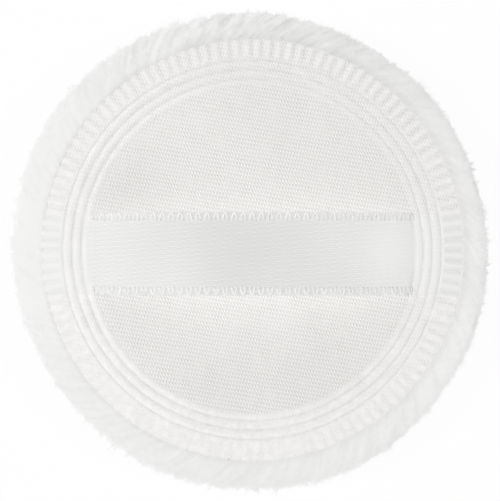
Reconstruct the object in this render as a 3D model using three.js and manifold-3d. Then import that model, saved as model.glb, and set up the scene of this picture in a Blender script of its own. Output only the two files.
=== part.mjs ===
import * as THREE from "three";
import { mergeVertices } from "three/addons/utils/BufferGeometryUtils.js";
import Module from "manifold-3d";

// A round powder puff with a ribbon strap. Sizes are in millimetres and +Z is up.
// The plush face lies on the table at z = 0, and the ribbon runs along X on top.

// The pressed border, from the middle outwards
const PANEL_RADIUS = 28.75; // the soft middle of the backing, up to the border
const GROOVE_PITCH = 1.64; // from one circular groove to the next
const GROOVE_COUNT = 3;
const BAR_LEAD = 0.43; // from the last circular groove to the start of the bars
const BAR_LENGTH = 3.65;
const BAR_COUNT = 120;
const BAR_FADE = 0.5; // over which a bar rises out of the flat cloth
const EMBOSS_DEPTH = 0.35;

// The layers, from the table up
const PILE_LENGTH = 3.8;
const GROUND_THICKNESS = 0.8;
const FOAM_THICKNESS = 4.5; // in the middle of the puff
const BACKING_THICKNESS = 0.5;
const SEAM_THICKNESS = 0.7;
const LAYER_GAP = 0.15;
const SIDE_GAP = 0.3;

// The cushion's shape
const REST_RADIUS = 20; // the flat of the plush face, on which the puff lies
const SHOULDER = 14; // over which the plush face is drawn up to the border
const PANEL_PUFF = 0.6; // of the panel's edge above the border
const PANEL_DIP = 1.1; // of the panel's middle below its puffed edge
const PANEL_EDGE = 0.9; // over which the panel drops into the border's first groove
const PILE_SPLAY = 4.75; // of the pile's rim past the border's cut edge
const RIM_DROP = 1.8; // from the border down to the rim's widest place
const RIM_RISE = 1.1; // of the rim's top above the border

// The ribbon strap
const RIBBON_WIDTH = 15;
const RIBBON_THICKNESS = 0.4;
const RIBBON_OFFSET = -0.65; // of its middle line from the puff's, along Y
const RIBBON_RISE = 4.5; // of its bow above the border
const RIBBON_LIFT = 0.15; // its seat above the cloth it lies on
const CROWN_LENGTH = 18; // the part of the bow that stays nearly straight when pressed
const FOLD_GAP = 0.7; // the crown's clearance to the sloping sides, which close up as they are pressed flat
const TAB_GAP = 0.3; // between a sloping side and the welded tab it hinges at

const AROUND = 44; // facets of a plain round surface

// Radii and levels that follow from the sizes above
const lastGroove = PANEL_RADIUS + GROOVE_PITCH * GROOVE_COUNT;
const barStart = lastGroove + BAR_LEAD;
const weldRadius = barStart + BAR_LENGTH;
const puffRadius = weldRadius + PILE_SPLAY;
const groundUnder = PILE_LENGTH + LAYER_GAP;
const groundTop = groundUnder + GROUND_THICKNESS;
const foamUnder = groundTop + LAYER_GAP;
const middleUnder = foamUnder + FOAM_THICKNESS + LAYER_GAP;
const weldTop = middleUnder + BACKING_THICKNESS - panelRise(0);
const backingUnder = weldTop - BACKING_THICKNESS;
const seamTop = backingUnder - LAYER_GAP;
const seamUnder = seamTop - SEAM_THICKNESS;
const hemTop = seamUnder - LAYER_GAP;
const drawUp = hemTop - groundTop;
const tabEnd = PANEL_RADIUS + LAYER_GAP;
const hingeX = tabEnd - TAB_GAP;
const ribbonSeat = weldTop + RIBBON_LIFT;

const { Manifold, Mesh } = await Module().then((wasm) => {
  wasm.setup();
  return wasm;
});

// How far the plush face is drawn up at a radius, on its way to the border
function drawnUp(radius) {
  const share = THREE.MathUtils.clamp((radius - PANEL_RADIUS + SHOULDER) / SHOULDER, 0, 1);
  return drawUp * share ** 2;
}

// How far the panel stands above the border at a radius: puffed at its edge, and dished in the middle
function panelRise(radius) {
  const share = Math.min(radius / PANEL_RADIUS, 1);
  return PANEL_PUFF * (1 - share ** 14) - PANEL_DIP * (1 - share ** 2);
}

// The radii at which the cushion's curved layers have their corners
function stations(end) {
  const list = [];
  for (let i = 0; i < 6; i += 1) {
    list.push(PANEL_RADIUS - SHOULDER + (SHOULDER * i) / 6);
  }
  return list.filter((radius) => radius < end).concat(end);
}

function bow(x) {
  return RIBBON_RISE * (1 - Math.abs(x / hingeX) ** 3);
}

function curvePoints(start, lead, follow, end, steps) {
  const curve = new THREE.CubicBezierCurve(start, lead, follow, end);
  return curve.getPoints(steps);
}

// A round solid from a profile of [radius, height] points
function turned(profile) {
  const points = profile.map((p) => (p.isVector2 ? p : new THREE.Vector2(p[0], p[1])));
  const geometry = new THREE.LatheGeometry(points, AROUND);
  geometry.rotateX(Math.PI / 2);
  return geometry;
}

// A ring of points, with a height that may change from one point to the next
function ring(count, radius, high, low = high) {
  const points = [];
  for (let i = 0; i < count; i += 1) {
    const turn = (2 * Math.PI * i) / count;
    points.push(new THREE.Vector3(radius * Math.cos(turn), radius * Math.sin(turn), i % 2 ? low : high));
  }
  return points;
}

// A closed skin over rings that may have different numbers of points. Where two rings step together the
// outer one goes first, so a skin facing up and one facing down over the same rings have the same facets.
function skin(rings, closed) {
  const positions = [];
  const starts = [];
  for (const points of rings) {
    starts.push(positions.length / 3);
    points.forEach((p) => positions.push(p.x, p.y, p.z));
  }
  const index = [];
  const spans = closed ? rings.length : rings.length - 1;
  for (let k = 0; k < spans; k += 1) {
    const next = (k + 1) % rings.length;
    const n = rings[k].length;
    const m = rings[next].length;
    let i = 0;
    let j = 0;
    while (i < n || j < m) {
      const a = starts[k] + (i % n);
      const b = starts[next] + (j % m);
      const lead = (j + 1) * n - (i + 1) * m;
      const outward = rings[next][0].x >= rings[k][0].x;
      if (j < m && (i >= n || lead < 0 || (lead === 0 && outward))) {
        j += 1;
        if (m > 1) {
          index.push(a, b, starts[next] + (j % m));
        }
      } else {
        i += 1;
        if (n > 1) {
          index.push(a, b, starts[k] + (i % n));
        }
      }
    }
  }
  const geometry = new THREE.BufferGeometry();
  geometry.setAttribute("position", new THREE.Float32BufferAttribute(positions, 3));
  geometry.setIndex(index);
  return geometry;
}

// The pressed border's rings: circular grooves with raised bands between them, then the radial bars
function borderRings(lift) {
  const high = weldTop + lift;
  const low = high - EMBOSS_DEPTH;
  const rings = [ring(AROUND, PANEL_RADIUS, low)];
  for (let i = 0; i < GROOVE_COUNT; i += 1) {
    rings.push(ring(AROUND, PANEL_RADIUS + GROOVE_PITCH * (i + 0.5), high));
    rings.push(ring(AROUND, PANEL_RADIUS + GROOVE_PITCH * (i + 1), low));
  }
  rings.push(ring(BAR_COUNT, barStart, high));
  rings.push(ring(2 * BAR_COUNT, barStart + BAR_FADE, high, low));
  rings.push(ring(2 * BAR_COUNT, weldRadius, high, low));
  return rings;
}

function backingSkin() {
  const radii = [PANEL_RADIUS * 0.4, PANEL_RADIUS * 0.8, PANEL_RADIUS - PANEL_EDGE];
  const top = radii.map((radius) => ring(AROUND, radius, weldTop + panelRise(radius)));
  const under = radii.map((radius) => ring(AROUND, radius, backingUnder + panelRise(radius)));
  return skin([
    [new THREE.Vector3(0, 0, weldTop + panelRise(0))],
    ...top,
    ...borderRings(0),
    ring(AROUND, weldRadius, backingUnder),
    ring(AROUND, PANEL_RADIUS, backingUnder),
    ...under.reverse(),
    [new THREE.Vector3(0, 0, backingUnder + panelRise(0))],
  ]);
}

function toManifold(geometry) {
  const bare = new THREE.BufferGeometry();
  bare.setAttribute("position", geometry.getAttribute("position"));
  bare.setIndex(geometry.getIndex());
  const merged = mergeVertices(bare, 1e-4);
  return new Manifold(
    new Mesh({
      numProp: 3,
      vertProperties: new Float32Array(merged.getAttribute("position").array),
      triVerts: new Uint32Array(merged.getIndex().array),
    }),
  );
}

function fromManifold(solid) {
  const mesh = solid.getMesh();
  const geometry = new THREE.BufferGeometry();
  geometry.setAttribute("position", new THREE.BufferAttribute(mesh.vertProperties, 3));
  geometry.setIndex(new THREE.BufferAttribute(mesh.triVerts, 1));
  return geometry;
}

// One welded end of the ribbon: a strip of cloth pressed to the border's own shape
function tab(side) {
  const upper = borderRings(RIBBON_LIFT + RIBBON_THICKNESS);
  const lower = borderRings(RIBBON_LIFT).reverse();
  const blank = toManifold(skin([...upper, ...lower], true));
  const length = puffRadius - tabEnd;
  const strip = new THREE.BoxGeometry(length, RIBBON_WIDTH, 4 * (RIBBON_THICKNESS + EMBOSS_DEPTH));
  strip.translate(side * (tabEnd + length / 2), RIBBON_OFFSET, ribbonSeat);
  return fromManifold(blank.intersect(toManifold(strip)));
}

// A length of the bowed ribbon between two places along X
function strap(from, to, steps) {
  const under = [];
  const over = [];
  for (let i = 0; i <= steps; i += 1) {
    const x = from + ((to - from) * i) / steps;
    const z = ribbonSeat + bow(x);
    under.push(new THREE.Vector2(x, z));
    over.unshift(new THREE.Vector2(x, z + RIBBON_THICKNESS));
  }
  const outline = new THREE.Shape([...under, ...over]);
  const geometry = new THREE.ExtrudeGeometry(outline, { depth: RIBBON_WIDTH, bevelEnabled: false });
  geometry.rotateX(Math.PI / 2);
  geometry.translate(0, RIBBON_OFFSET + RIBBON_WIDTH / 2, 0);
  return geometry;
}

// The plush pile: flat where it lies, drawn up to the border, and splayed past its cut edge
function pileProfile() {
  const wide = new THREE.Vector2(puffRadius, weldTop - RIM_DROP);
  const flat = new THREE.Vector2(REST_RADIUS, 0);
  const inner = new THREE.Vector2(weldRadius + SIDE_GAP, weldTop);
  const face = curvePoints(
    flat,
    new THREE.Vector2((flat.x + wide.x) / 2, 0),
    new THREE.Vector2(wide.x, wide.y / 2),
    wide,
    7,
  );
  const rim = curvePoints(
    wide,
    new THREE.Vector2(wide.x, weldTop + RIM_RISE),
    new THREE.Vector2(inner.x + PILE_SPLAY / 4, weldTop + 2 * RIM_RISE),
    inner,
    6,
  );
  const inside = stations(PANEL_RADIUS).reverse();
  return [
    [0, 0],
    ...face,
    ...rim.slice(1),
    [weldRadius + SIDE_GAP, PILE_LENGTH + drawUp],
    ...inside.map((radius) => [radius, PILE_LENGTH + drawnUp(radius)]),
    [0, PILE_LENGTH],
  ];
}

function groundProfile() {
  const list = stations(PANEL_RADIUS);
  return [
    [0, groundUnder],
    ...list.map((radius) => [radius, groundUnder + drawnUp(radius)]),
    [weldRadius, groundUnder + drawUp],
    [weldRadius, hemTop],
    ...list.reverse().map((radius) => [radius, groundTop + drawnUp(radius)]),
    [0, groundTop],
  ];
}

function foamProfile() {
  const list = stations(PANEL_RADIUS - SIDE_GAP);
  return [
    [0, foamUnder],
    ...list.map((radius) => [radius, foamUnder + drawnUp(radius)]),
    ...list.reverse().map((radius) => [radius, seamTop + panelRise(radius)]),
    [0, seamTop + panelRise(0)],
  ];
}

function seamProfile() {
  return [
    [PANEL_RADIUS, seamUnder],
    [weldRadius, seamUnder],
    [weldRadius, seamTop],
    [PANEL_RADIUS, seamTop],
    [PANEL_RADIUS, seamUnder],
  ];
}

const finishes = {
  pile: { color: 0xf4f3f0, roughness: 0.95, metalness: 0 },
  ground: { color: 0xeeedea, roughness: 0.9, metalness: 0 },
  foam: { color: 0xf1efe6, roughness: 0.9, metalness: 0 },
  seam: { color: 0xf0efec, roughness: 0.6, metalness: 0 },
  twill: { color: 0xe9e8e6, roughness: 0.8, metalness: 0 },
  satin: { color: 0xebebea, roughness: 0.45, metalness: 0 },
};

const puff = new THREE.Group();
puff.name = "powder_puff";

function add(name, geometry, finish) {
  const mesh = new THREE.Mesh(geometry, new THREE.MeshStandardMaterial(finishes[finish]));
  mesh.name = name;
  puff.add(mesh);
}

add("plush_pile", turned(pileProfile()), "pile");
add("plush_ground", turned(groundProfile()), "ground");
add("foam_core", turned(foamProfile()), "foam");
add("weld_seam", turned(seamProfile()), "seam");
add("backing_cloth", backingSkin(), "twill");
add("ribbon_tab_left", tab(-1), "satin");
add("ribbon_tab_right", tab(1), "satin");
add("ribbon_side_left", strap(-hingeX, -CROWN_LENGTH / 2 - FOLD_GAP, 6), "satin");
add("ribbon_side_right", strap(CROWN_LENGTH / 2 + FOLD_GAP, hingeX, 6), "satin");
add("ribbon_crown", strap(-CROWN_LENGTH / 2, CROWN_LENGTH / 2, 8), "satin");

export default puff;
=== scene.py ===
# %% [markdown]
# A powder puff is a sandwich of cloth and foam. Plush lies below, twill lies on top, and one heated die
# welds every layer together along a round border. A satin ribbon is caught in the same weld, and a finger
# slips under it. The solids of the puff are loaded first and stay where they are. The rest is dressed over
# them.

# %% Load the solids
import math

import bmesh
import bpy
import numpy as np
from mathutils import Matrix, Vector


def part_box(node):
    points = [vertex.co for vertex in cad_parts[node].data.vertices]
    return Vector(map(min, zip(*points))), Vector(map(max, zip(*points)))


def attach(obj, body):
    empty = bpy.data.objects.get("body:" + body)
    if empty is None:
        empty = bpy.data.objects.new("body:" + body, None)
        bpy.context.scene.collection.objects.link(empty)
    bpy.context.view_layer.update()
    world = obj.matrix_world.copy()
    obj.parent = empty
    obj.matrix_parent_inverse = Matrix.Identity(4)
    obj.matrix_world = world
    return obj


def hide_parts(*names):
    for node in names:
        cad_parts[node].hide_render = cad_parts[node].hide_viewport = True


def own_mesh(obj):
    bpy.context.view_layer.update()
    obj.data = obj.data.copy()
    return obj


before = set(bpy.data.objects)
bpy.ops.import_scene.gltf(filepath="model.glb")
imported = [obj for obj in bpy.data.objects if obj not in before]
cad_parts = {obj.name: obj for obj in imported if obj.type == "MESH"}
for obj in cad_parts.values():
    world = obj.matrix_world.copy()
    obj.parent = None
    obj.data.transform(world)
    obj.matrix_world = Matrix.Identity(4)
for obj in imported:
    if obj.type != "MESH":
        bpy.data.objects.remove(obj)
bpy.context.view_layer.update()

print("solids:", ", ".join(sorted(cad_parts)))

# %% [markdown]
# A pattern maker works in millimetres, so the sizes here are in millimetres too, and only the finished
# points are turned into metres. The radii are those of the die: the panel inside it, its three circular
# grooves, and its ring of short bars, which ends at the cut edge of the cloth.

# %% Sizes of the die
MM = 0.001
FULL_TURN = 2 * math.pi
PANEL_RADIUS = 28.75
GROOVE_STEP = 1.64
GROOVES = [PANEL_RADIUS + k * GROOVE_STEP for k in (1, 2, 3)]
BARS = 120
BAR_STEP = FULL_TURN / BARS
BAR_START, BAR_END = 34.1, 37.6
BORDER_TOP = 10.55
CUT_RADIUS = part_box("backing_cloth")[1].x / MM
PUFF_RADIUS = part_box("plush_pile")[1].x / MM
print(f"cut edge {CUT_RADIUS:.2f} mm, pile out to {PUFF_RADIUS:.2f} mm")

# %% [markdown]
# Cloth is never quite even, so most shapes below get a slow ripple. A few sine waves in fixed random
# directions are enough for that. They are quick, they take whole arrays of points, and they are the same on
# every run. Two more helpers blend one shape into another: a soft step, and a bell that is 1 in its middle.

# %% Ripples, steps and bells
def ripple(x, y, size, seed, waves=7):
    chance = np.random.default_rng(seed)
    total = np.zeros_like(np.asarray(x, float))
    for _ in range(waves):
        turn = chance.uniform(0, FULL_TURN)
        shift = chance.uniform(0, FULL_TURN)
        stretch = chance.uniform(0.7, 1.5)
        total = total + np.sin((np.cos(turn) * x + np.sin(turn) * y) * FULL_TURN * stretch / size + shift)
    return total / math.sqrt(waves)


def smooth_step(value, low, high):
    share = np.clip((np.asarray(value, float) - low) / (high - low), 0, 1)
    return share * share * (3 - 2 * share)


def bell(value, width):
    return np.exp(-((value / width) ** 2))


print("ripple at the middle:", round(float(ripple(0.0, 0.0, 9.0, 1)), 3))

# %% [markdown]
# Every piece is a mesh whose points are already in place, on an object at the origin. The layers are round,
# so their points come in rings, and one helper joins two rings into faces. Two rings may have different
# counts: then one long face takes in several short edges, which saves thousands of faces where no detail is
# needed.

# %% Make a piece, and join rings of points
def add_object(name, data):
    thing = bpy.data.objects.new(name, data)
    bpy.context.scene.collection.objects.link(thing)
    return thing


def make_piece(name, points, faces, material=None):
    """A piece made of points in millimetres and faces that name their points."""
    mesh = bpy.data.meshes.new(name)
    mesh.from_pydata([tuple(p) for p in np.asarray(points) * MM], [], faces)
    mesh.polygons.foreach_set("use_smooth", np.ones(len(mesh.polygons), bool))
    if material:
        mesh.materials.append(material)
    mesh.update()
    return add_object(name, mesh)


def add_ring(points, rings, radius, angles, z):
    """Adds a ring of points, and notes the index where it starts and how many points it has."""
    rings.append((len(points), len(angles)))
    points.extend(zip(radius * np.cos(angles), radius * np.sin(angles), np.broadcast_to(z, angles.shape)))


def join_rings(first, first_count, second, second_count):
    many, few = max(first_count, second_count), min(first_count, second_count)
    step = many // few

    def stretch(start, count, i):
        if count == many:
            return [start + (i * step + k) % many for k in range(step + 1)]
        return [start + i, start + (i + 1) % few]

    return [stretch(first, first_count, i)[::-1] + stretch(second, second_count, i) for i in range(few)]


def triangles(piece):
    piece.data.calc_loop_triangles()
    return len(piece.data.loop_triangles)


print("piece helpers ready")

# %% [markdown]
# Finishes and trees are both built of nodes. These helpers add a node, set its inputs and give back what it
# puts out. An input that is given a socket gets a link, and one that is given a number keeps the number.

# %% Add nodes and groups
def add_node(tree, kind, settings=None, inputs=None):
    node = tree.nodes.new(kind)
    for name, value in (settings or {}).items():
        setattr(node, name, value)
    for name, value in (inputs or {}).items():
        if isinstance(value, bpy.types.NodeSocket):
            tree.links.new(value, node.inputs[name])
        else:
            node.inputs[name].default_value = value
    return node


def math_node(tree, operation, *values):
    return add_node(tree, "ShaderNodeMath", {"operation": operation}, dict(enumerate(values))).outputs[0]


def scaled(tree, value, by, plus):
    return math_node(tree, "MULTIPLY_ADD", value, by, plus)


def vector_node(tree, operation, *values):
    node = add_node(tree, "ShaderNodeVectorMath", {"operation": operation}, dict(enumerate(values)))
    return node.outputs["Value" if operation == "DOT_PRODUCT" else "Vector"]


def noise(tree, place, scale, detail, roughness=0.5, output="Fac"):
    inputs = {"Vector": place, "Scale": scale, "Detail": detail, "Roughness": roughness}
    return add_node(tree, "ShaderNodeTexNoise", {}, inputs).outputs[output]


def map_range(tree, value, given_range, wanted_range, interpolation="LINEAR"):
    inputs = {"Value": value}
    inputs["From Min"], inputs["From Max"] = given_range
    inputs["To Min"], inputs["To Max"] = wanted_range
    node = add_node(tree, "ShaderNodeMapRange", {"interpolation_type": interpolation}, inputs)
    return node.outputs["Result"]


def start_group(name, kind, inputs, output, output_kind):
    """An empty node group. Gives back the group, its named inputs and the socket of its one output."""
    group = bpy.data.node_groups.new(name, kind)
    for socket, socket_kind in inputs.items():
        group.interface.new_socket(socket, in_out="INPUT", socket_type="NodeSocket" + socket_kind)
    group.interface.new_socket(output, in_out="OUTPUT", socket_type="NodeSocket" + output_kind)
    return group, group.nodes.new("NodeGroupInput").outputs, group.nodes.new("NodeGroupOutput").inputs[output]


print("node helpers ready")

# %% [markdown]
# Twill, satin and knit are all lattices of threads. A lattice can be written as a sum of cosine waves, one
# for each direction in which the threads repeat. That is exact at any zoom, needs no picture, and one node
# group serves all three cloths with different wave vectors, in waves per metre. It gives out a height from
# 0, between threads, to 1, on a thread.

# %% A node group for woven threads
woven, given, height = start_group("woven_threads", "ShaderNodeTree", {
    "Place": "Vector", "First Waves": "Vector", "Second Waves": "Vector",
    "First Share": "Float", "Second Share": "Float", "Cross Share": "Float", "Cross Shift": "Float",
}, "Height", "Float")
turns = []
for waves in ("First Waves", "Second Waves"):
    waves_passed = vector_node(woven, "DOT_PRODUCT", given["Place"], given[waves])
    turns.append(math_node(woven, "MULTIPLY", waves_passed, FULL_TURN))
turns.append(math_node(woven, "ADD", math_node(woven, "SUBTRACT", turns[1], turns[0]), given["Cross Shift"]))
total = None
for turn, share in zip(turns, ("First Share", "Second Share", "Cross Share")):
    wave = math_node(woven, "MULTIPLY", math_node(woven, "COSINE", turn), given[share])
    total = wave if total is None else math_node(woven, "ADD", total, wave)
woven.links.new(scaled(woven, total, 0.5, 0.5), height)


def weave(tree, place, first, second, shares, shift=0.0):
    return add_node(tree, "ShaderNodeGroup", {"node_tree": woven}, {
        "Place": place, "First Waves": first, "Second Waves": second, "Cross Shift": shift,
        "First Share": shares[0], "Second Share": shares[1], "Cross Share": shares[2],
    }).outputs["Height"]


print("woven_threads:", len(woven.nodes), "nodes")

# %% [markdown]
# White cloth under white light still has tone: it yellows a little here, holds dust there, and its fibres
# lie in small drifts. A second group mixes a slow and a fast noise into one tone from 0 to 1. Most finishes
# here use it.

# %% A node group for drifting tone
drift, given, tone = start_group("drifting_tone", "ShaderNodeTree", {
    "Place": "Vector", "Slow Scale": "Float", "Fast Scale": "Float", "Fast Share": "Float",
}, "Tone", "Float")
slow = noise(drift, given["Place"], given["Slow Scale"], detail=2.0)
fast = noise(drift, given["Place"], given["Fast Scale"], detail=3.0)
blend = add_node(drift, "ShaderNodeMix", {"data_type": "FLOAT"}, {
    "Factor": given["Fast Share"], "A": slow, "B": fast,
})
drift.links.new(blend.outputs["Result"], tone)


def drifting(tree, place, slow_scale, fast_scale, fast_share):
    inputs = {"Place": place, "Slow Scale": slow_scale, "Fast Scale": fast_scale, "Fast Share": fast_share}
    return add_node(tree, "ShaderNodeGroup", {"node_tree": drift}, inputs).outputs["Tone"]


print("drifting_tone:", len(drift.nodes), "nodes")

# %% [markdown]
# Each finish below is one Principled shader. What stays the same all over is set on the shader itself, and
# only colour, roughness and bump follow the pattern. These helpers start a finish, read what a piece stores
# at its points, mix two colours, raise a bump, and sway a place a little, because no thread runs quite
# straight.

# %% Start a finish
def start_finish(name, roughness, sheen=0.0, specular=0.3):
    material = bpy.data.materials.new(name)
    material.use_nodes = True
    tree = material.node_tree
    shader = tree.nodes["Principled BSDF"]
    shader.inputs["Roughness"].default_value = roughness
    shader.inputs["Sheen Weight"].default_value = sheen
    shader.inputs["Sheen Roughness"].default_value = 0.5
    shader.inputs["Specular IOR Level"].default_value = specular
    place = tree.nodes.new("ShaderNodeTexCoord").outputs["Object"]
    return material, tree, shader, place


def stored(tree, name, output="Fac"):
    return add_node(tree, "ShaderNodeAttribute", {"attribute_name": name}).outputs[output]


def mix_colour(tree, factor, low, high):
    node = add_node(tree, "ShaderNodeMix", {"data_type": "RGBA"}, {"Factor": factor})
    colour_inputs = [socket for socket in node.inputs if socket.type == "RGBA"]
    for socket, colour in zip(colour_inputs, (low, high)):
        if isinstance(colour, bpy.types.NodeSocket):
            tree.links.new(colour, socket)
        else:
            socket.default_value = (*colour, 1.0)
    return next(socket for socket in node.outputs if socket.type == "RGBA")


def raise_bump(tree, shader, height, strength, distance):
    inputs = {"Strength": strength, "Distance": distance, "Height": height}
    bump = add_node(tree, "ShaderNodeBump", {}, inputs)
    tree.links.new(bump.outputs["Normal"], shader.inputs["Normal"])


def swayed(tree, place, scale, detail, reach):
    sway = noise(tree, place, scale, detail, output="Color")
    centred = vector_node(tree, "SUBTRACT", sway, (0.5, 0.5, 0.5))
    return vector_node(tree, "MULTIPLY_ADD", centred, reach, place)


print("finish helpers ready")

# %% [markdown]
# The back is a fine twill. Its floats lean steeply, and deep little pits show between them. The die flattens
# and melts the threads, so in the border the weave fades into lumps. How far it is melted is stored on the
# mesh as "pressed", and a second stored tone lightens or darkens it with painted light and shade.

# %% Twill for the back
twill, tree, shader, place = start_finish("twill", roughness=0.75, sheen=0.1)
shifted = swayed(tree, place, scale=160.0, detail=1.0, reach=(0.0004, 0.0004, 0.0))
threads = weave(tree, shifted, (1759, -439, 0), (-242, -1362, 0), shares=(0.28, 0.24, 0.48), shift=1.4)
pressed = stored(tree, "pressed")
patchy = noise(tree, place, scale=420.0, detail=3.0, roughness=0.6)
unpressed = scaled(tree, pressed, -0.9, 1.0)
open_weave = math_node(tree, "MULTIPLY", unpressed, scaled(tree, patchy, 1.4, 0.25))
slubs = noise(tree, place, scale=2600.0, detail=1.0)
felt = noise(tree, place, scale=900.0, detail=3.0)
lumps = math_node(tree, "MULTIPLY", math_node(tree, "SUBTRACT", felt, 0.25), pressed)
# The stored tone adds painted light and shade, painted shade in the grooves and paler bars to the melted
# tone.
melt_and_painted_tone = scaled(tree, stored(tree, "rubbed"), 0.10, 0.46)
melt_and_painted_tone = scaled(tree, lumps, 0.6, melt_and_painted_tone)
melt_and_painted_tone = scaled(tree, slubs, 0.26, melt_and_painted_tone)
relief = scaled(tree, math_node(tree, "SUBTRACT", threads, 0.6), open_weave, melt_and_painted_tone)
cloth = mix_colour(tree, relief, (0.648, 0.638, 0.628), (0.940, 0.931, 0.920))
dust = math_node(tree, "MULTIPLY", drifting(tree, place, 70.0, 1500.0, 0.4), 0.12)
tree.links.new(mix_colour(tree, dust, cloth, (0.80, 0.79, 0.77)), shader.inputs["Base Color"])
tree.links.new(scaled(tree, relief, -0.15, 0.85), shader.inputs["Roughness"])
raise_bump(tree, shader, relief, strength=0.6, distance=0.00012)
print("twill:", len(tree.nodes), "nodes")

# %% [markdown]
# Satin floats lie along the ribbon and hide the threads that cross them, so it shines. Its waves are long
# one way and short the other. It has less contrast than twill and a smoother surface. The loops at the
# ribbon's edges are bare weft, which is matt and twisted, so they get a plain thread of their own.

# %% Satin for the ribbon, and thread for its loops
satin, tree, shader, place = start_finish("satin", roughness=0.45, specular=0.3)
shifted = swayed(tree, place, scale=260.0, detail=2.0, reach=(0.0012, 0.0006, 0.0))
threads = weave(tree, shifted, (495, -1317, 0), (-738, -1177, 0), shares=(0.45, 0.45, 0.10))
lines = weave(tree, shifted, (-242, -2494, 0), (90, -1246, 0), shares=(0.6, 0.3, 0.1))
woven_floats = scaled(tree, threads, 0.3, math_node(tree, "MULTIPLY", lines, 0.7))
# The stored tone is painted highlight and shade: lighter near the ribbon's ends, darker over the middle of
# the bow.
floats = scaled(tree, stored(tree, "rubbed"), 0.35, woven_floats)
cloth = mix_colour(tree, floats, (0.672, 0.669, 0.663), (0.820, 0.817, 0.810))
cloth = mix_colour(tree, stored(tree, "pressed"), cloth, (0.83, 0.825, 0.815))
dust = math_node(tree, "MULTIPLY", drifting(tree, place, 90.0, 1800.0, 0.5), 0.10)
tree.links.new(mix_colour(tree, dust, cloth, (0.74, 0.74, 0.73)), shader.inputs["Base Color"])
tree.links.new(scaled(tree, floats, -0.18, 0.55), shader.inputs["Roughness"])
raise_bump(tree, shader, woven_floats, strength=0.3, distance=0.00008)
print("satin:", len(tree.nodes), "nodes")

selvedge, tree, shader, place = start_finish("selvedge", roughness=0.6)
twist = drifting(tree, place, 500.0, 3000.0, 0.6)
thread = mix_colour(tree, twist, (0.76, 0.755, 0.745), (0.90, 0.895, 0.885))
tree.links.new(thread, shader.inputs["Base Color"])
raise_bump(tree, shader, twist, strength=0.3, distance=0.0001)
print("selvedge:", len(tree.nodes), "nodes")

# %% [markdown]
# The pile is bright, matt and soft. Its fibres are modelled, so the finish adds the drift in tone that
# separates one lock from the next, and a stored tone of painted light and shade. "lay" is a place that
# follows the combed fibres, so the locks slant with them. The locks are strongest on the far side of the rim.

# %% Pile fibre
LUMPY_FROM, LUMPY_TO = 0.028, 0.041
pile, tree, shader, place = start_finish("pile", roughness=0.9, sheen=0.5, specular=0.2)
locks = noise(tree, stored(tree, "lay", "Vector"), scale=0.9, detail=3.0, roughness=0.6)
far_side = vector_node(tree, "DOT_PRODUCT", place, (0.0, 1.0, 0.0))
lumpy = map_range(tree, far_side, (LUMPY_FROM, LUMPY_TO), (0.75, 2.4))
# The stored tone is painted light and shade on the pile, with a slow drift on top.
drift_and_painted_light = scaled(tree, drifting(tree, place, 110.0, 900.0, 0.5), 0.2, stored(tree, "brushed"))
tone = scaled(tree, math_node(tree, "SUBTRACT", locks, 0.5), lumpy, drift_and_painted_light)
fibre = mix_colour(tree, tone, (0.66, 0.656, 0.652), (0.90, 0.896, 0.891))
tree.links.new(fibre, shader.inputs["Base Color"])
raise_bump(tree, shader, locks, strength=0.2, distance=0.0003)
print("pile:", len(tree.nodes), "nodes")

# %% [markdown]
# Three finishes lie inside and show only where a layer is lifted or cut: the knitted ground that carries
# the pile, the open cells of the foam, and the glassy seam where all of them melted together.

# %% Knit, foam and weld
knit, tree, shader, place = start_finish("knit_ground", roughness=0.85, sheen=0.1)
loops = weave(tree, place, (700, 0, 0), (350, 900, 0), shares=(0.4, 0.3, 0.3))
tree.links.new(mix_colour(tree, loops, (0.66, 0.65, 0.63), (0.88, 0.87, 0.85)), shader.inputs["Base Color"])
raise_bump(tree, shader, loops, strength=0.6, distance=0.0003)

foam, tree, shader, place = start_finish("foam", roughness=0.95)
cells = add_node(tree, "ShaderNodeTexVoronoi", {"feature": "DISTANCE_TO_EDGE"}, {
    "Vector": place, "Scale": 1400.0,
})
walls = map_range(tree, cells.outputs["Distance"], (0.0, 0.25), (1.0, 0.0))
tree.links.new(mix_colour(tree, walls, (0.70, 0.67, 0.60), (0.90, 0.88, 0.82)), shader.inputs["Base Color"])
raise_bump(tree, shader, walls, strength=0.7, distance=0.0003)

weld, tree, shader, place = start_finish("weld", roughness=0.5)
dust = drifting(tree, place, 300.0, 1200.0, 0.5)
tree.links.new(mix_colour(tree, dust, (0.72, 0.71, 0.69), (0.90, 0.89, 0.87)), shader.inputs["Base Color"])
tree.links.new(scaled(tree, dust, 0.5, 0.2), shader.inputs["Roughness"])
raise_bump(tree, shader, dust, strength=0.5, distance=0.0002)
print("inside finishes: knit_ground, foam, weld")

# %% [markdown]
# The die leaves the same relief in every layer that it presses: three fine circular grooves, then a ring of
# bars with a thin groove between each two. One function gives the depth at any point, so the back and the
# ribbon's ends agree. Between the grooves the cloth is squeezed up into ridges, and the die pressed harder
# on one side.

# %% Relief of the die
GROOVE_DEPTH, GROOVE_WIDTH, RIDGE_RISE = 0.17, 0.18, 0.12
BAR_CROWN, GAP_DEPTH, GAP_WIDTH = 0.05, 0.17, 0.48
NICK_DEPTH, NICK_WIDTH, NICK_RADIUS, NICK_LENGTH = 0.03, 0.3, 37.15, 0.25
HARDEST_ANGLE = 1.0


def bar_phase(angle):
    """The place across one bar, from -0.5 to 0.5, with a gap between two bars at 0."""
    return (angle / BAR_STEP + 0.5) % 1.0 - 0.5


def past_bar_start(radius):
    return smooth_step(radius, BAR_START, BAR_START + 0.5)


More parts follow.
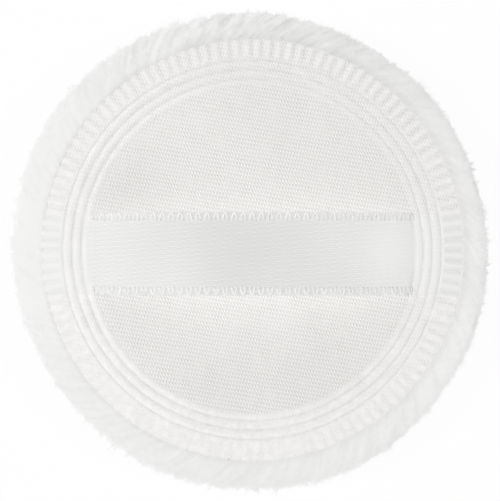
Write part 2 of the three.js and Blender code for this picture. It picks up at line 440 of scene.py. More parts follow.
def die_relief(radius, angle):
    depth = np.zeros_like(radius)
    for groove in GROOVES:
        depth = depth - GROOVE_DEPTH * bell(radius - groove, GROOVE_WIDTH)
    ridges = np.clip((radius - PANEL_RADIUS) / GROOVE_STEP, 0, len(GROOVES))
    depth = depth + RIDGE_RISE * np.sin(math.pi * ridges) ** 2
    phase = bar_phase(angle)
    arc = phase * BAR_STEP * radius
    in_bars = past_bar_start(radius) * (1 - smooth_step(radius, BAR_END - 0.4, BAR_END))
    harder = 0.75 + 0.6 * np.cos(angle - HARDEST_ANGLE)
    crown = BAR_CROWN * np.sin(math.pi * np.abs(phase)) ** 2
    depth = depth + in_bars * harder * (crown - GAP_DEPTH * bell(arc, GAP_WIDTH))
    return depth - NICK_DEPTH * bell(arc, NICK_WIDTH) * bell(radius - NICK_RADIUS, NICK_LENGTH)


print("depth in a groove:", round(float(die_relief(GROOVES[0], 0.1)), 2), "mm")

# %% [markdown]
# The border isn't level. It leans outwards, because the soft pile under its outer edge gives way. The panel
# inside it stands up at its edge, where the foam swells, and dips in the middle.

# %% Height of the back
BORDER_LEAN, LEAN_LEVEL = 0.06, 4.5
PANEL_PUFF, PANEL_DIP = 0.6, 1.1


def layer_lean(radius):
    inside = BORDER_LEAN * LEAN_LEVEL * np.clip(radius / PANEL_RADIUS, 0, 1) ** 10
    return np.where(radius < PANEL_RADIUS, inside, BORDER_LEAN * (LEAN_LEVEL - (radius - PANEL_RADIUS)))


def panel_rise(radius):
    share = np.clip(radius / PANEL_RADIUS, 0, 1)
    return PANEL_PUFF * (1 - share**14) - PANEL_DIP * (1 - share**2)


def back_top(radius, angle):
    soft = 1 - smooth_step(radius, 26.0, 29.0)
    slack = soft * 0.04 * ripple(radius * np.cos(angle), radius * np.sin(angle), 14.0, 3)
    return BORDER_TOP + panel_rise(radius) + layer_lean(radius) + die_relief(radius, angle) + slack


print("the panel dips", round(float(back_top(27.0, 0.0) - back_top(0.0, 0.0)), 2), "mm in the middle")

# %% [markdown]
# The back is one round sheet. Its rings of points crowd together at each groove, and its spokes crowd
# together at each bar, so the relief is real and sharp. The panel needs few points, because it only curves
# gently. The sheet is turned under at the cut edge and closed below. A flat grid with displacement would
# need far more points.

# %% Back of twill
BACK_THICK = 0.45
SPOKE_ARCS, SPOKE_RADIUS = np.array([0, 0.13, 0.29, 0.55, 0.94, 1.335, 1.595, 1.755]), 36.0
PANEL_RINGS_END = 27.5
fine_angles = (np.arange(BARS)[:, None] * BAR_STEP + SPOKE_ARCS / SPOKE_RADIUS).ravel()
panel_angles = fine_angles[::4]
hidden_angles = fine_angles[::8]
panel_rings = list(np.linspace(1.3, 27.3, 21))
edge_rings = [27.6, 27.85, 28.05, 28.2, 28.35, 28.5, 28.65, 28.8, 28.95, 29.1, 29.3, 29.55]
groove_rings = [groove + d for groove in GROOVES for d in (-0.55, -0.34, -0.2, -0.1, 0, 0.1, 0.2, 0.34, 0.55)]
ridge_rings = [(a + b) / 2 for a, b in zip(GROOVES, GROOVES[1:])]
bar_rings = [34.35, 34.45, 34.6, 34.8, 35.1, 35.5, 36.0, 36.5, 36.9, 37.1, 37.25, 37.4, 37.52, 37.62]
fine_rings = sorted(edge_rings + groove_rings + ridge_rings + bar_rings + [CUT_RADIUS - 0.06])

points, rings = [(0.0, 0.0, float(back_top(0.0, 0.0)))], []
for radius in panel_rings + fine_rings:
    angles = panel_angles if radius < PANEL_RINGS_END else fine_angles
    add_ring(points, rings, radius, angles, back_top(np.full(len(angles), radius), angles))
for radius, drop in ((CUT_RADIUS, 0.12), (CUT_RADIUS, 0.36), (CUT_RADIUS - 0.15, BACK_THICK)):
    add_ring(points, rings, radius, fine_angles, BORDER_TOP + layer_lean(radius) - drop)
for radius in (37.2, 34.0, 31.0, 29.4, 28.7, 28.2, 27.4, 25.0, 21.0, 15.0, 8.0):
    under_side = BORDER_TOP - BACK_THICK + layer_lean(radius) + panel_rise(radius)
    add_ring(points, rings, radius, hidden_angles, under_side)
points.append((0.0, 0.0, BORDER_TOP - BACK_THICK + panel_rise(0.0)))
first, first_count = rings[0]
last, last_count = rings[-1]
faces = [(0, first + i, first + (i + 1) % first_count) for i in range(first_count)]
for (a, a_count), (b, b_count) in zip(rings, rings[1:]):
    faces += join_rings(a, a_count, b, b_count)
faces += [(len(points) - 1, last + i, last + (i + 1) % last_count) for i in range(last_count)]
back = make_piece("backing_twill", points, faces, twill)
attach(back, "puff")
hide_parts("backing_cloth")
print("backing_twill:", triangles(back), "triangles")

# %% [markdown]
# Soft bright and dull patches of painted light and shade lie on the cloth. Painted shade darkens the grooves,
# most on the near side, and the bars are made a little paler. Heat melts the threads of the border, least on
# the far side. Both follow the place on the puff, so they are worked out for each point and stored on the
# mesh, where the twill reads them.

# %% Paint light and shade on the back, and melt it
# Patches of painted light and shade on the back.
PAINTED_SHADING = [
    (-12, 20, 9, 1.0), (-2, 18, 8, 0.6), (-9, -11, 9, 1.0), (5, -11, 8, 0.8),
    (11, -23, 9, -1.0), (-7, -26, 8, -0.9), (-24, 10, 7, -0.7), (0, 28, 8, -0.6),
]
BAR_PALE, GROOVE_SHADE_WIDTH = 0.18, 0.16
LEAST_MELTED_ANGLE = 1.35


def read_points(mesh, field="co"):
    values = np.zeros(len(mesh.vertices) * 3)
    mesh.vertices.foreach_get(field, values)
    return values.reshape(-1, 3)


def store(piece, name, values):
    """Keeps a number or a vector at each point, under a name that a finish or a tree can read."""
    values = np.asarray(values, np.float32)
    kind, field = ("FLOAT", "value") if values.ndim == 1 else ("FLOAT_VECTOR", "vector")
    piece.data.attributes.new(name, kind, "POINT").data.foreach_set(field, values.ravel())


def painted_patches(x, y, patches):
    """Soft round patches of painted light and shade. Each has its place, its size and its amount, which may
    be below zero.
    """
    total = np.zeros_like(x)
    for patch_x, patch_y, size, amount in patches:
        total += amount * np.exp(-((x - patch_x) ** 2 + (y - patch_y) ** 2) / size**2)
    return total


# Painted shade in the three grooves, darker towards the near side.
def painted_groove_shade(x, y):
    radius = np.hypot(x, y)
    amount = 1.6 - 1.2 * smooth_step(y, -20, 10)
    return sum(amount * bell(radius - groove, GROOVE_SHADE_WIDTH) for groove in GROOVES)


def melt_share(x, y):
    radius, angle = np.hypot(x, y), np.arctan2(y, x)
    in_border = smooth_step(radius, PANEL_RADIUS - 0.1, PANEL_RADIUS + 0.9)
    gap = np.abs(bar_phase(angle)) * BAR_STEP * radius
    in_gap = past_bar_start(radius) * bell(gap, 0.45)
    on_bar = past_bar_start(radius) * smooth_step(gap, 0.4, 0.9)
    uneven = 0.66 - 0.4 * np.cos(angle - LEAST_MELTED_ANGLE) + 0.1 * ripple(x, y, 6.0, 11)
    return np.clip(in_border * uneven * (1 - 0.25 * in_gap) + 0.45 * on_bar, 0, 1)


x, y, _ = read_points(back.data).T / MM
pale_bars = BAR_PALE * past_bar_start(np.hypot(x, y))
store(back, "rubbed", painted_patches(x, y, PAINTED_SHADING) + pale_bars - painted_groove_shade(x, y))
store(back, "pressed", melt_share(x, y))
print("stored on the back: rubbed and pressed, at", len(x), "points")

# %% [markdown]
# The ribbon is one length of satin. Its ends lie in the border and carry the die's relief. Between them it
# stands up as a bow. It is a grid of points, drawn straight from its path: a simulation would lose its
# crisp edges. Its edges are scalloped, because the weft turns round outside the last warp thread and leaves
# small loops.

# %% Path and edge of the ribbon
RIBBON_WIDTH, RIBBON_LENGTH, RIBBON_Y = 15.0, 77, -0.65
RIBBON_SEAT, RIBBON_RISE, RIBBON_FOLD = 10.7, 4.5, 28.6
RIBBON_LIFT, WELD_GAP = 0.12, 0.012
RIBBON_THICK, WELDED_THICK, LEAST_THICK = 0.3, 0.09, 0.004
PICOT_PITCH, PICOT_BASE, PICOT_TIP = 1.56, 6.6, 7.5
FREE_EDGE, WELDED_EDGE, SCALLOP = PICOT_BASE + 0.76, 7.2, 0.03
HEM_RISE, HEM_PLACE, HEM_WIDTH = 0.05, 6.4, 0.2


def in_weld(x, y):
    return smooth_step(np.hypot(x, y), PANEL_RADIUS - 0.4, PANEL_RADIUS + 0.6)


def ribbon_under(x, y):
    """Height of the ribbon's underside: free over the panel, and on the cloth in the weld."""
    across = (y - RIBBON_Y) / (RIBBON_WIDTH / 2)
    standing = 1 - smooth_step(np.abs(x), 16.0, 28.0)
    bow = RIBBON_RISE * (1 - np.clip(np.abs(x) / RIBBON_FOLD, 0, 1) ** 3)
    slack = 0.03 * ripple(x, y, 11.0, 5) - 0.15 * np.abs(across) ** 2.5
    free = RIBBON_SEAT + RIBBON_LIFT + bow + standing * slack
    cloth = back_top(np.hypot(x, y), np.arctan2(y, x)) + WELD_GAP
    welded = in_weld(x, y)
    return np.maximum(free * (1 - welded) + cloth * welded, cloth)


def ribbon_row(x, across):
    """Points on the top and on the underside of the ribbon, in one row across it."""
    welded = in_weld(x, across + RIBBON_Y)
    free_edge = FREE_EDGE + SCALLOP * np.cos(FULL_TURN * x / PICOT_PITCH)
    edge = free_edge * (1 - welded) + WELDED_EDGE * welded
    outside = np.clip((np.abs(across) - PICOT_BASE) / (PICOT_TIP - PICOT_BASE), 0, 1)
    scalloped = np.sign(across) * (PICOT_BASE + outside * (edge - PICOT_BASE))
    y = np.where(outside > 0, scalloped, across) + RIBBON_Y
    low = ribbon_under(x, y)
    free_thick = RIBBON_THICK * (1 - 0.2 * smooth_step(outside, 0.0, 1.0)) * (1 - welded)
    welded_thick = WELDED_THICK * welded * (1 - smooth_step(np.abs(across), 5.6, 7.5))
    hem = HEM_RISE * (1 - welded) * bell(np.abs(across) - HEM_PLACE, HEM_WIDTH)
    high = low + (free_thick + welded_thick + LEAST_THICK) + hem
    return np.stack([x, y, high], 1), np.stack([x, y, low], 1)


print("top of the bow:", round(float(ribbon_under(0.0, RIBBON_Y)) + RIBBON_THICK, 2), "mm")

# %% [markdown]
# The ribbon is made as three pieces of the same cut: the bow, and the two ends that are caught in the weld.
# The bow flattens when it is pressed, and the ends keep the relief of the die. They share a row of points a
# little inside the weld, where the seam between them doesn't show.

# %% Ribbon in three lengths
# Patches of painted highlight near the ribbon's ends, and of painted shade over the middle of the bow.
PAINTED_SHINE = [
    (-5, 0, 11, -1.2), (-20, 0, 6, -0.3), (-13, -4, 6, 0.5),
    (8, 0, 9, -0.6), (26, 0, 8, 1.7), (14, 2, 7, 0.4),
]
FREE_END, ROW_STEP, WELD_ROWS = 28.8, 0.2, 4
hem_columns = np.linspace(PICOT_BASE, PICOT_TIP, 7)[1:]
across = np.concatenate([-hem_columns[::-1], np.linspace(-PICOT_BASE, PICOT_BASE, 89), hem_columns])
columns = len(across)
end_shares = np.linspace(0, 1, 62)[1:]
end_reach = np.sqrt((CUT_RADIUS - 0.1) ** 2 - (across + RIBBON_Y) ** 2)
end_rows = [FREE_END + share * (end_reach - FREE_END) for share in end_shares]
free_rows = [np.full(columns, x) for x in np.arange(-FREE_END, FREE_END + 0.01, ROW_STEP)]
row_places = [-x for x in end_rows[::-1]] + free_rows + end_rows
top, under = zip(*(ribbon_row(x, across) for x in row_places))


def grid_corners(index):
    return [corner.ravel() for corner in (index[:-1, :-1], index[1:, :-1], index[1:, 1:], index[:-1, 1:])]


def make_ribbon(name, first, last):
    """A closed length of ribbon from one row to another."""
    rows = last - first + 1
    points = np.concatenate(top[first:last + 1] + under[first:last + 1])
    index = np.arange(rows * columns).reshape(rows, columns)
    a, b, c, d = grid_corners(index)
    faces = np.stack([a, b, c, d], 1).tolist() + (np.stack([a, d, c, b], 1) + index.size).tolist()
    border = np.concatenate([index[0, :], index[1:, -1], index[-1, -2::-1], index[-2:0:-1, 0]])
    following = np.roll(border, -1)
    faces += np.stack([border, following, following + index.size, border + index.size], 1).tolist()
    piece = make_piece(name, points, faces, satin)
    piece.data.set_sharp_from_angle(angle=math.radians(45))
    x, y, _ = read_points(piece.data).T / MM
    store(piece, "pressed", melt_share(x, y))
    store(piece, "rubbed", painted_patches(x, y, PAINTED_SHINE))
    return piece


left_fold = len(end_rows) - WELD_ROWS
right_fold = len(end_rows) + len(free_rows) - 1 + WELD_ROWS
ribbon = make_ribbon("ribbon_satin", left_fold, right_fold)
end_left = make_ribbon("ribbon_end_left", 0, left_fold)
end_right = make_ribbon("ribbon_end_right", right_fold, len(row_places) - 1)
print("ribbon:", [triangles(piece) for piece in (ribbon, end_left, end_right)], "triangles")

# %% [markdown]
# The loops along the ribbon's edges are all the same and follow a path, which is work for Geometry Nodes:
# measure the path, put a point at every pitch, turn a loop to the path there, and make the copies real. One
# loop is a flat thread with four sides, bent over a short arch.

# %% One loop
LOOP_ARCH = [
    (-0.46, -0.75), (-0.36, -0.1), (-0.18, 0.45), (0.0, 0.6), (0.18, 0.45), (0.36, -0.1), (0.46, -0.75),
]
LOOP_SIDES, LOOP_WIDE, LOOP_HIGH = 4, 0.28, 0.1


def face_outwards(piece):
    shape = bmesh.new()
    shape.from_mesh(piece.data)
    bmesh.ops.recalc_face_normals(shape, faces=shape.faces)
    shape.to_mesh(piece.data)
    shape.free()


def make_loop(name, side):
    points, faces = [], []
    for i, (u, v) in enumerate(LOOP_ARCH):
        before, after = LOOP_ARCH[max(i - 1, 0)], LOOP_ARCH[min(i + 1, len(LOOP_ARCH) - 1)]
        along = np.array([after[0] - before[0], after[1] - before[1]])
        along = along / np.linalg.norm(along)
        for k in range(LOOP_SIDES):
            turn = math.pi / 4 + k * math.pi / 2
            out, up = LOOP_WIDE * math.cos(turn), LOOP_HIGH * math.sin(turn)
            points.append((u - along[1] * out, side * (v + along[0] * out), up))
    for i in range(0, len(points) - LOOP_SIDES, LOOP_SIDES):
        for k in range(LOOP_SIDES):
            next_k = (k + 1) % LOOP_SIDES
            faces.append((i + k, i + next_k, i + LOOP_SIDES + next_k, i + LOOP_SIDES + k))
    faces += [tuple(range(LOOP_SIDES)), tuple(len(points) - 1 - k for k in range(LOOP_SIDES))]
    loop = make_piece(name, points, faces, selvedge)
    face_outwards(loop)
    return loop


print("a loop stands", LOOP_ARCH[3][1] - LOOP_ARCH[0][1], "mm from root to tip")

# %% [markdown]
# A Geometry Nodes tree is a recipe with named inputs. It runs on a piece as a modifier, and the result is
# taken over as a plain mesh, because an export drops copies that aren't real. The last two nodes of both
# trees here are the same: make the copies real, and give them their finish.

# %% Tree for the loops, and how to run a tree
def end_tree(tree, copies, finish, output):
    real = add_node(tree, "GeometryNodeRealizeInstances", {}, {"Geometry": copies.outputs["Instances"]})
    inputs = {"Geometry": real.outputs["Geometry"], "Material": finish}
    finished = add_node(tree, "GeometryNodeSetMaterial", {}, inputs)
    tree.links.new(finished.outputs["Geometry"], output)


follow, given, loops_out = start_group("loops_along_edge", "GeometryNodeTree", {
    "Edge": "Geometry", "Loop": "Object", "Pitch": "Float", "Finish": "Material",
}, "Loops", "Geometry")
follow.is_modifier = True
path = add_node(follow, "GeometryNodeMeshToCurve", {}, {"Mesh": given["Edge"]})
spaced = add_node(follow, "GeometryNodeCurveToPoints", {"mode": "LENGTH"}, {
    "Curve": path.outputs["Curve"], "Length": given["Pitch"],
})
turned = add_node(follow, "FunctionNodeAlignRotationToVector", {"axis": "X"}, {
    "Vector": spaced.outputs["Tangent"],
})
source = add_node(follow, "GeometryNodeObjectInfo", {}, {"Object": given["Loop"]})
copies = add_node(follow, "GeometryNodeInstanceOnPoints", {}, {
    "Points": spaced.outputs["Points"], "Instance": source.outputs["Geometry"],
    "Rotation": turned.outputs["Rotation"],
})
end_tree(follow, copies, given["Finish"], loops_out)


def run_nodes(piece, group, values):
    """Runs a Geometry Nodes tree on a piece and gives back the result as a plain mesh."""
    modifier = piece.modifiers.new(group.name, "NODES")
    modifier.node_group = group
    sockets = {item.name: item.identifier for item in group.interface.items_tree if item.in_out == "INPUT"}
    for name, value in values.items():
        modifier[sockets[name]] = value
    piece.update_tag()
    bpy.context.view_layer.update()
    made = bpy.data.meshes.new_from_object(piece.evaluated_get(bpy.context.evaluated_depsgraph_get()))
    piece.modifiers.remove(modifier)
    return made


def drop_piece(piece):
    mesh = piece.data
    bpy.data.objects.remove(piece)
    bpy.data.meshes.remove(mesh)


print("loops_along_edge:", len(follow.nodes), "nodes")

# %% [markdown]
# Each edge of the ribbon gets its own row of loops. The path is a line of points on top of the ribbon, just
# inside its edge, so every loop grows out of the satin. Both rows are then joined into one piece.

# %% Loops along the ribbon's edges
LOOPS_END, PATH_STEP = 28.0, 0.25
joined = bmesh.new()
for side in (1, -1):
    loop = make_loop(f"loop_{side}", side)
    x = np.arange(-LOOPS_END, LOOPS_END + 0.01, PATH_STEP)
    y = np.full_like(x, side * PICOT_BASE + RIBBON_Y)
    edge_line = make_piece(f"edge_{side}", np.stack([x, y, ribbon_under(x, y) + RIBBON_THICK], 1), [])
    edge_line.data.edges.add(len(x) - 1)
    links = np.stack([np.arange(len(x) - 1), np.arange(1, len(x))], 1)
    edge_line.data.edges.foreach_set("vertices", links.ravel())
    edge_line.data.update()
    row = run_nodes(edge_line, follow, {"Loop": loop, "Pitch": PICOT_PITCH * MM, "Finish": selvedge})
    joined.from_mesh(row)
    bpy.data.meshes.remove(row)
    drop_piece(loop)
    drop_piece(edge_line)
picot_mesh = bpy.data.meshes.new("ribbon_loops")
joined.to_mesh(picot_mesh)
joined.free()
picot_mesh.materials.clear()
picot_mesh.materials.append(selvedge)
picots = add_object("ribbon_loops", picot_mesh)
print("ribbon_loops:", triangles(picots), "triangles")

# %% [markdown]
# In its jar the puff lies under a lid, and the lid presses the bow flat. On the real puff only the bow and
# its loops give way, and the two welded ends stay as they are. Here the bow, its loops and both ends are
# joined to the puff, and the solids that they stand for are hidden.

# %% Join the ribbon to the puff
for piece in (ribbon, picots):
    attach(piece, "puff")
    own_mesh(piece)
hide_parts("ribbon_side_left", "ribbon_side_right", "ribbon_crown")
for piece, node in ((end_left, "ribbon_tab_left"), (end_right, "ribbon_tab_right")):
    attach(piece, "puff")
    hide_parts(node)

# %% [markdown]
# Three layers are hidden: the foam pad, the weld ring and the knitted ground. They are turned shapes, so
# each is an outline swept round the middle, with a faint wobble. A Screw modifier could turn the outline
# too, but not add the wobble. An outline that starts away from the middle is closed into a ring.

# %% Sweep an outline round the middle
ON_AXIS = 1e-6


def sweep(name, outline, material, columns=180, wobble=0.0):
    angles = np.arange(columns) * FULL_TURN / columns
    spokes = [(i, (i + 1) % columns) for i in range(columns)]
    points, rings = [], []
    for i, (radius, z) in enumerate(outline):
        if radius < ON_AXIS:
            rings.append((len(points), 1))
            points.append((0.0, 0.0, z))
            continue
        uneven = wobble * ripple(radius * np.cos(angles), radius * np.sin(angles), 9.0, 21 + i % 2)
        add_ring(points, rings, radius, angles, z + uneven)
    closing = rings[:1] if outline[0][0] > ON_AXIS else []
    faces = []
    for (a, a_count), (b, b_count) in zip(rings, rings[1:] + closing):
        if a_count == 1:
            faces += [(a, b + i, b + j) for i, j in spokes]
        elif b_count == 1:
            faces += [(a + j, a + i, b) for i, j in spokes]
        else:
            faces += [(a + i, b + i, b + j, a + j) for i, j in spokes]
    piece = make_piece(name, points, faces, material)
    face_outwards(piece)
    return piece


print("sweep ready")

# %% [markdown]
# The foam swells between the two cloths and thins to a lip at the weld. The weld ring is what the die made
# of the foam under the border. The ground lies flat under the foam and is drawn up towards the border at
# its shoulder.

# %% Foam, weld ring and ground
DRAW_UP, SHOULDER, GROUND_UNDER = 4.3, 14.0, 3.95
GROUND_GAP, GROUND_TOP, FOAM_UNDER = 0.06, 0.72, 0.98
FOAM_DROP = 0.65


def drawn_up(radius):
    return DRAW_UP * np.clip((radius - (PANEL_RADIUS - SHOULDER)) / SHOULDER, 0, 1) ** 2


foam_radii = np.concatenate([np.linspace(0.0, 14.0, 8), np.linspace(15.5, 28.35, 14)])
foam_outline = [(r, BORDER_TOP - FOAM_DROP + panel_rise(r)) for r in foam_radii]
foam_outline += [(28.42, 9.6)]
foam_outline += [(r, GROUND_UNDER + FOAM_UNDER + drawn_up(r)) for r in foam_radii[::-1]]
foam_pad = sweep("foam_pad", foam_outline, foam, wobble=0.02)
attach(foam_pad, "puff")
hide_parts("foam_core")

weld_outline = [
    (28.9, 9.25), (28.9, 9.85), (31.0, 9.88), (34.0, 9.86), (37.3, 9.84),
    (37.6, 9.6), (37.5, 9.24), (34.0, 9.22), (31.0, 9.24),
]
weld_ring = sweep("weld_ring", weld_outline, weld, wobble=0.02)
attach(weld_ring, "puff")
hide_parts("weld_seam")

ground_radii = np.concatenate([
    np.linspace(0.0, 14.0, 6), np.linspace(15.5, 28.75, 12), np.linspace(30.0, CUT_RADIUS - 0.1, 6),
])
ground_outline = [(r, GROUND_UNDER + GROUND_TOP + drawn_up(r)) for r in ground_radii]
ground_outline += [(CUT_RADIUS, GROUND_UNDER + DRAW_UP + 0.4)]
ground_outline += [(r, GROUND_UNDER + GROUND_GAP + drawn_up(r)) for r in ground_radii[::-1]]
ground = sweep("plush_ground_knit", ground_outline, knit, wobble=0.01)
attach(ground, "puff")
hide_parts("plush_ground")
print("inside:", [triangles(piece) for piece in (foam_pad, weld_ring, ground)], "triangles")

# %% [markdown]
# The plush is built in two parts. A mat follows the outline of the pile and fills it, so no gap shows
# between the fibres. Then thousands of small tufts stand on it. The outline is two curves, the belly and
# the rim, and the mat lies a little inside it, so that the tips of the tufts reach it. It isn't a true
# circle: the cloth was cut by hand over the weld, and a handful of slow waves round the rim give it the
# same easy shape.

# %% Outline of the plush
RIM_WAVES = ((1, 0.5, 155), (2, 0.35, 105), (3, 0.15, -100), (7, 0.12, 90))
WIDEST = BORDER_TOP - 1.8
LIP_RADIUS, LIP_TOP = CUT_RADIUS - 0.25, BORDER_TOP - 0.2


def rim_wave(angle):
    return sum(size * np.cos(k * angle + math.radians(phase)) for k, size, phase in RIM_WAVES)


def bezier(points, count):
    t = np.linspace(0, 1, count)[:, None]
    p = np.asarray(points, float)
    return (1 - t) ** 3 * p[0] + 3 * (1 - t) ** 2 * t * p[1] + 3 * (1 - t) * t**2 * p[2] + t**3 * p[3]


def unit(vectors):
    return vectors / np.linalg.norm(vectors, axis=1)[:, None]


flat = [(r, 0.0) for r in np.linspace(0, 19, 14)]
belly = bezier([(20, 0), (31.25, 0), (PUFF_RADIUS, WIDEST / 2), (PUFF_RADIUS, WIDEST)], 34)
rim_shape = [
    (PUFF_RADIUS, WIDEST), (PUFF_RADIUS, WIDEST + 2.3),
    (CUT_RADIUS + 3.2, BORDER_TOP + 0.35), (LIP_RADIUS, LIP_TOP),
]
tips = np.concatenate([flat, belly, bezier(rim_shape, 26)[1:]])
slope = np.gradient(tips, axis=0)
facing = unit(np.stack([slope[:, 1], -slope[:, 0]], 1))
above = tips[:, 1] > WIDEST
depth_below = np.interp(tips[:, 1], [0, 3, WIDEST], [0.35, 0.5, 0.58])
depth_above = np.interp(tips[:, 0], [LIP_RADIUS, 40, PUFF_RADIUS], [0.02, 0.3, 0.58])
mat_line = tips - facing * np.where(above, depth_above, depth_below)[:, None]
mat_line[:, 0] = np.where(above, np.maximum(mat_line[:, 0], LIP_RADIUS), mat_line[:, 0])
mat_line[0, 0] = 0.0
print("outline points:", len(tips), "widest at", round(WIDEST, 2), "mm")

# %% [markdown]
# The mat is that outline swept round the middle and closed inside, along the ground cloth. Its rings follow
# the waves of the rim, and small lumps keep it from looking turned. It also stores "lay", a place that
# slants with the combed fibres, so that the finish can draw locks that lean.

# %% Mat under the tufts
COLUMNS = 480
MAT_FLOOR = 3.72
LAY_RADIUS, LAY_SLANT, LAY_RISE = 40, 0.022, 0.25
angles = np.arange(COLUMNS) * FULL_TURN / COLUMNS
points, rings = [(0.0, 0.0, mat_line[0, 1])], []
for radius, z in mat_line[1:]:
    waved = smooth_step(radius, CUT_RADIUS + 0.2, 41.0) if z > WIDEST else smooth_step(radius, 24, 40)
    lump = 0.03 * ripple(np.cos(angles) * radius, np.sin(angles) * radius + z, 3.0, 31)
    add_ring(points, rings, radius + rim_wave(angles) * waved + lump, angles, z)
outer_rings = len(rings)
inner_line = [(CUT_RADIUS + 0.03, LIP_TOP - 0.04), (CUT_RADIUS + 0.03, 9.6), (CUT_RADIUS + 0.15, 8.3)]
inner_line += [(r, MAT_FLOOR + drawn_up(r)) for r in (37.0, 33.0, 29.5, 27.0, 24.0, 20.0, 15.0, 8.0)]
for radius, z in inner_line:
    add_ring(points, rings, radius, angles, z)
points.append((0.0, 0.0, MAT_FLOOR))
starts = [start for start, _ in rings]
spokes = [(i, (i + 1) % COLUMNS) for i in range(COLUMNS)]
faces = [(0, starts[0] + j, starts[0] + i) for i, j in spokes]
for a, b in zip(starts, starts[1:]):
    faces += [(a + i, a + j, b + j, b + i) for i, j in spokes]
faces += [(starts[-1] + i, starts[-1] + j, len(points) - 1) for i, j in spokes]
mat = make_piece("plush_mat", points, faces, pile)
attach(mat, "puff")
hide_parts("plush_pile")

lengths = np.cumsum(np.linalg.norm(np.diff(mat_line, axis=0), axis=1))
lay = np.zeros((len(points), 3))
for start, length in zip(starts[:outer_rings], lengths):
    slant = angles - LAY_SLANT * length
    risen = np.full(COLUMNS, LAY_RISE * length)
    lay[start:start + COLUMNS] = np.stack([LAY_RADIUS * np.cos(slant), LAY_RADIUS * np.sin(slant), risen], 1)
store(mat, "lay", lay)
print("plush_mat:", triangles(mat), "triangles")

# %% [markdown]
# A tuft is fifteen tapered fibres. Each is a thin cone with three sides, so a tuft costs little. Hair
# curves would look alike, but they have no mesh to export. The roots stand in a spiral, like seeds in a
# sunflower, and each fibre leans and stops at its own height.

# %% One tuft
FIBRES, FIBRE_SIDES, TUFT_SEED = 15, 3, 5
SPIRAL_TURN = 2.4
TUFT_RADIUS, FIBRE_RADIUS, ROOT_DEPTH = 0.36, 0.055, 0.15


def make_tuft():
    """A tuft one unit tall, which the tree scales to its length."""
    chance = np.random.default_rng(TUFT_SEED)
    points, faces = [], []
    for i in range(FIBRES):
        turn = i * SPIRAL_TURN
        root = TUFT_RADIUS * math.sqrt((i + 0.5) / FIBRES)
        x, y = root * math.cos(turn), root * math.sin(turn)
        aim = chance.uniform(0, FULL_TURN)
        lean = chance.uniform(0.05, 0.3)
        tall = chance.uniform(0.6, 1.0)
        start = len(points)
        for k in range(FIBRE_SIDES):
            corner = k * FULL_TURN / FIBRE_SIDES + turn
            corner_x = x + FIBRE_RADIUS * math.cos(corner)
            corner_y = y + FIBRE_RADIUS * math.sin(corner)
            points.append((corner_x, corner_y, -ROOT_DEPTH))
            faces.append((start + k, start + (k + 1) % FIBRE_SIDES, start + FIBRE_SIDES))
        points.append((x + lean * math.cos(aim), y + lean * math.sin(aim), tall))
    return make_piece("tuft", np.asarray(points) / MM, faces, pile)


tuft = make_tuft()
print("tuft:", triangles(tuft), "triangles")

# %% [markdown]
# Geometry Nodes scatter the tufts over the mat. They keep a least distance, as stitched tufts do, or the
# pile would look moth-eaten. Each is turned along the way the pile is combed, spun, tilted a little to one
# side, and given its own length. A few strays stand out much longer than the rest, and give the outline its
# fuzz.

# %% Tree that plants the tufts
LEAST_DISTANCE, SPARE_POINTS, MOST_CROWDED = 0.31 * MM, 5.0, 3.4
MOST_TILT, TILT_SEED, STRAY_SEED, STRAY_RARITY = 0.5, 3.0, 7.0, 4.0
plant, given, pile_out = start_group("plush_tufts", "GeometryNodeTree", {
    "Ground": "Geometry", "Tuft": "Object", "Density": "Float", "Length": "Float",
    "Unevenness": "Float", "Strays": "Float", "Seed": "Int", "Finish": "Material",
}, "Pile", "Geometry")
plant.is_modifier = True


def carried(name, kind):
    return add_node(plant, "GeometryNodeInputNamedAttribute", {"data_type": kind}, {"Name": name}).outputs[0]


def chance_node(low, high, seed):
    inputs = {2: low, 3: high, "Seed": seed}
    return add_node(plant, "FunctionNodeRandomValue", {"data_type": "FLOAT"}, inputs).outputs[1]


def turn_by(rotation, by):
    inputs = {"Rotation": rotation.outputs["Rotation"], "Rotate By": by.outputs["Rotation"]}
    return add_node(plant, "FunctionNodeRotateRotation", {"rotation_space": "LOCAL"}, inputs)


planted = add_node(plant, "GeometryNodeDistributePointsOnFaces", {"distribute_method": "POISSON"}, {
    "Mesh": given["Ground"], "Distance Min": LEAST_DISTANCE, "Seed": given["Seed"],
    "Density Max": math_node(plant, "MULTIPLY", given["Density"], SPARE_POINTS),
    "Density Factor": math_node(plant, "DIVIDE", carried("crowding", "FLOAT"), MOST_CROWDED),
})
combed = add_node(plant, "FunctionNodeAlignRotationToVector", {"axis": "Z"}, {
    "Vector": carried("combing", "FLOAT_VECTOR"),
})
spin = chance_node(0.0, FULL_TURN, given["Seed"])
about = add_node(plant, "FunctionNodeAxisAngleToRotation", {}, {"Axis": (0, 0, 1), "Angle": spin})
tilt = add_node(plant, "FunctionNodeRandomValue", {"data_type": "FLOAT_VECTOR"}, {
    0: (-MOST_TILT, -MOST_TILT, 0.0), 1: (MOST_TILT, MOST_TILT, 0.0),
    "Seed": math_node(plant, "ADD", given["Seed"], TILT_SEED),
})
aside = add_node(plant, "FunctionNodeEulerToRotation", {}, {"Euler": tilt.outputs[0]})
turned = turn_by(turn_by(combed, about), aside)
shorter = math_node(plant, "SUBTRACT", 1.0, given["Unevenness"])
longer = math_node(plant, "ADD", 1.0, given["Unevenness"])
wide = math_node(plant, "MULTIPLY", chance_node(shorter, longer, given["Seed"]), given["Length"])
rare = chance_node(0.0, 1.0, math_node(plant, "ADD", given["Seed"], STRAY_SEED))
stray = scaled(plant, math_node(plant, "POWER", rare, STRAY_RARITY), given["Strays"], 1.0)
tall = math_node(plant, "MULTIPLY", math_node(plant, "MULTIPLY", wide, stray), carried("tallness", "FLOAT"))
size = add_node(plant, "ShaderNodeCombineXYZ", {}, {"X": wide, "Y": wide, "Z": tall})
source = add_node(plant, "GeometryNodeObjectInfo", {}, {"Object": given["Tuft"]})
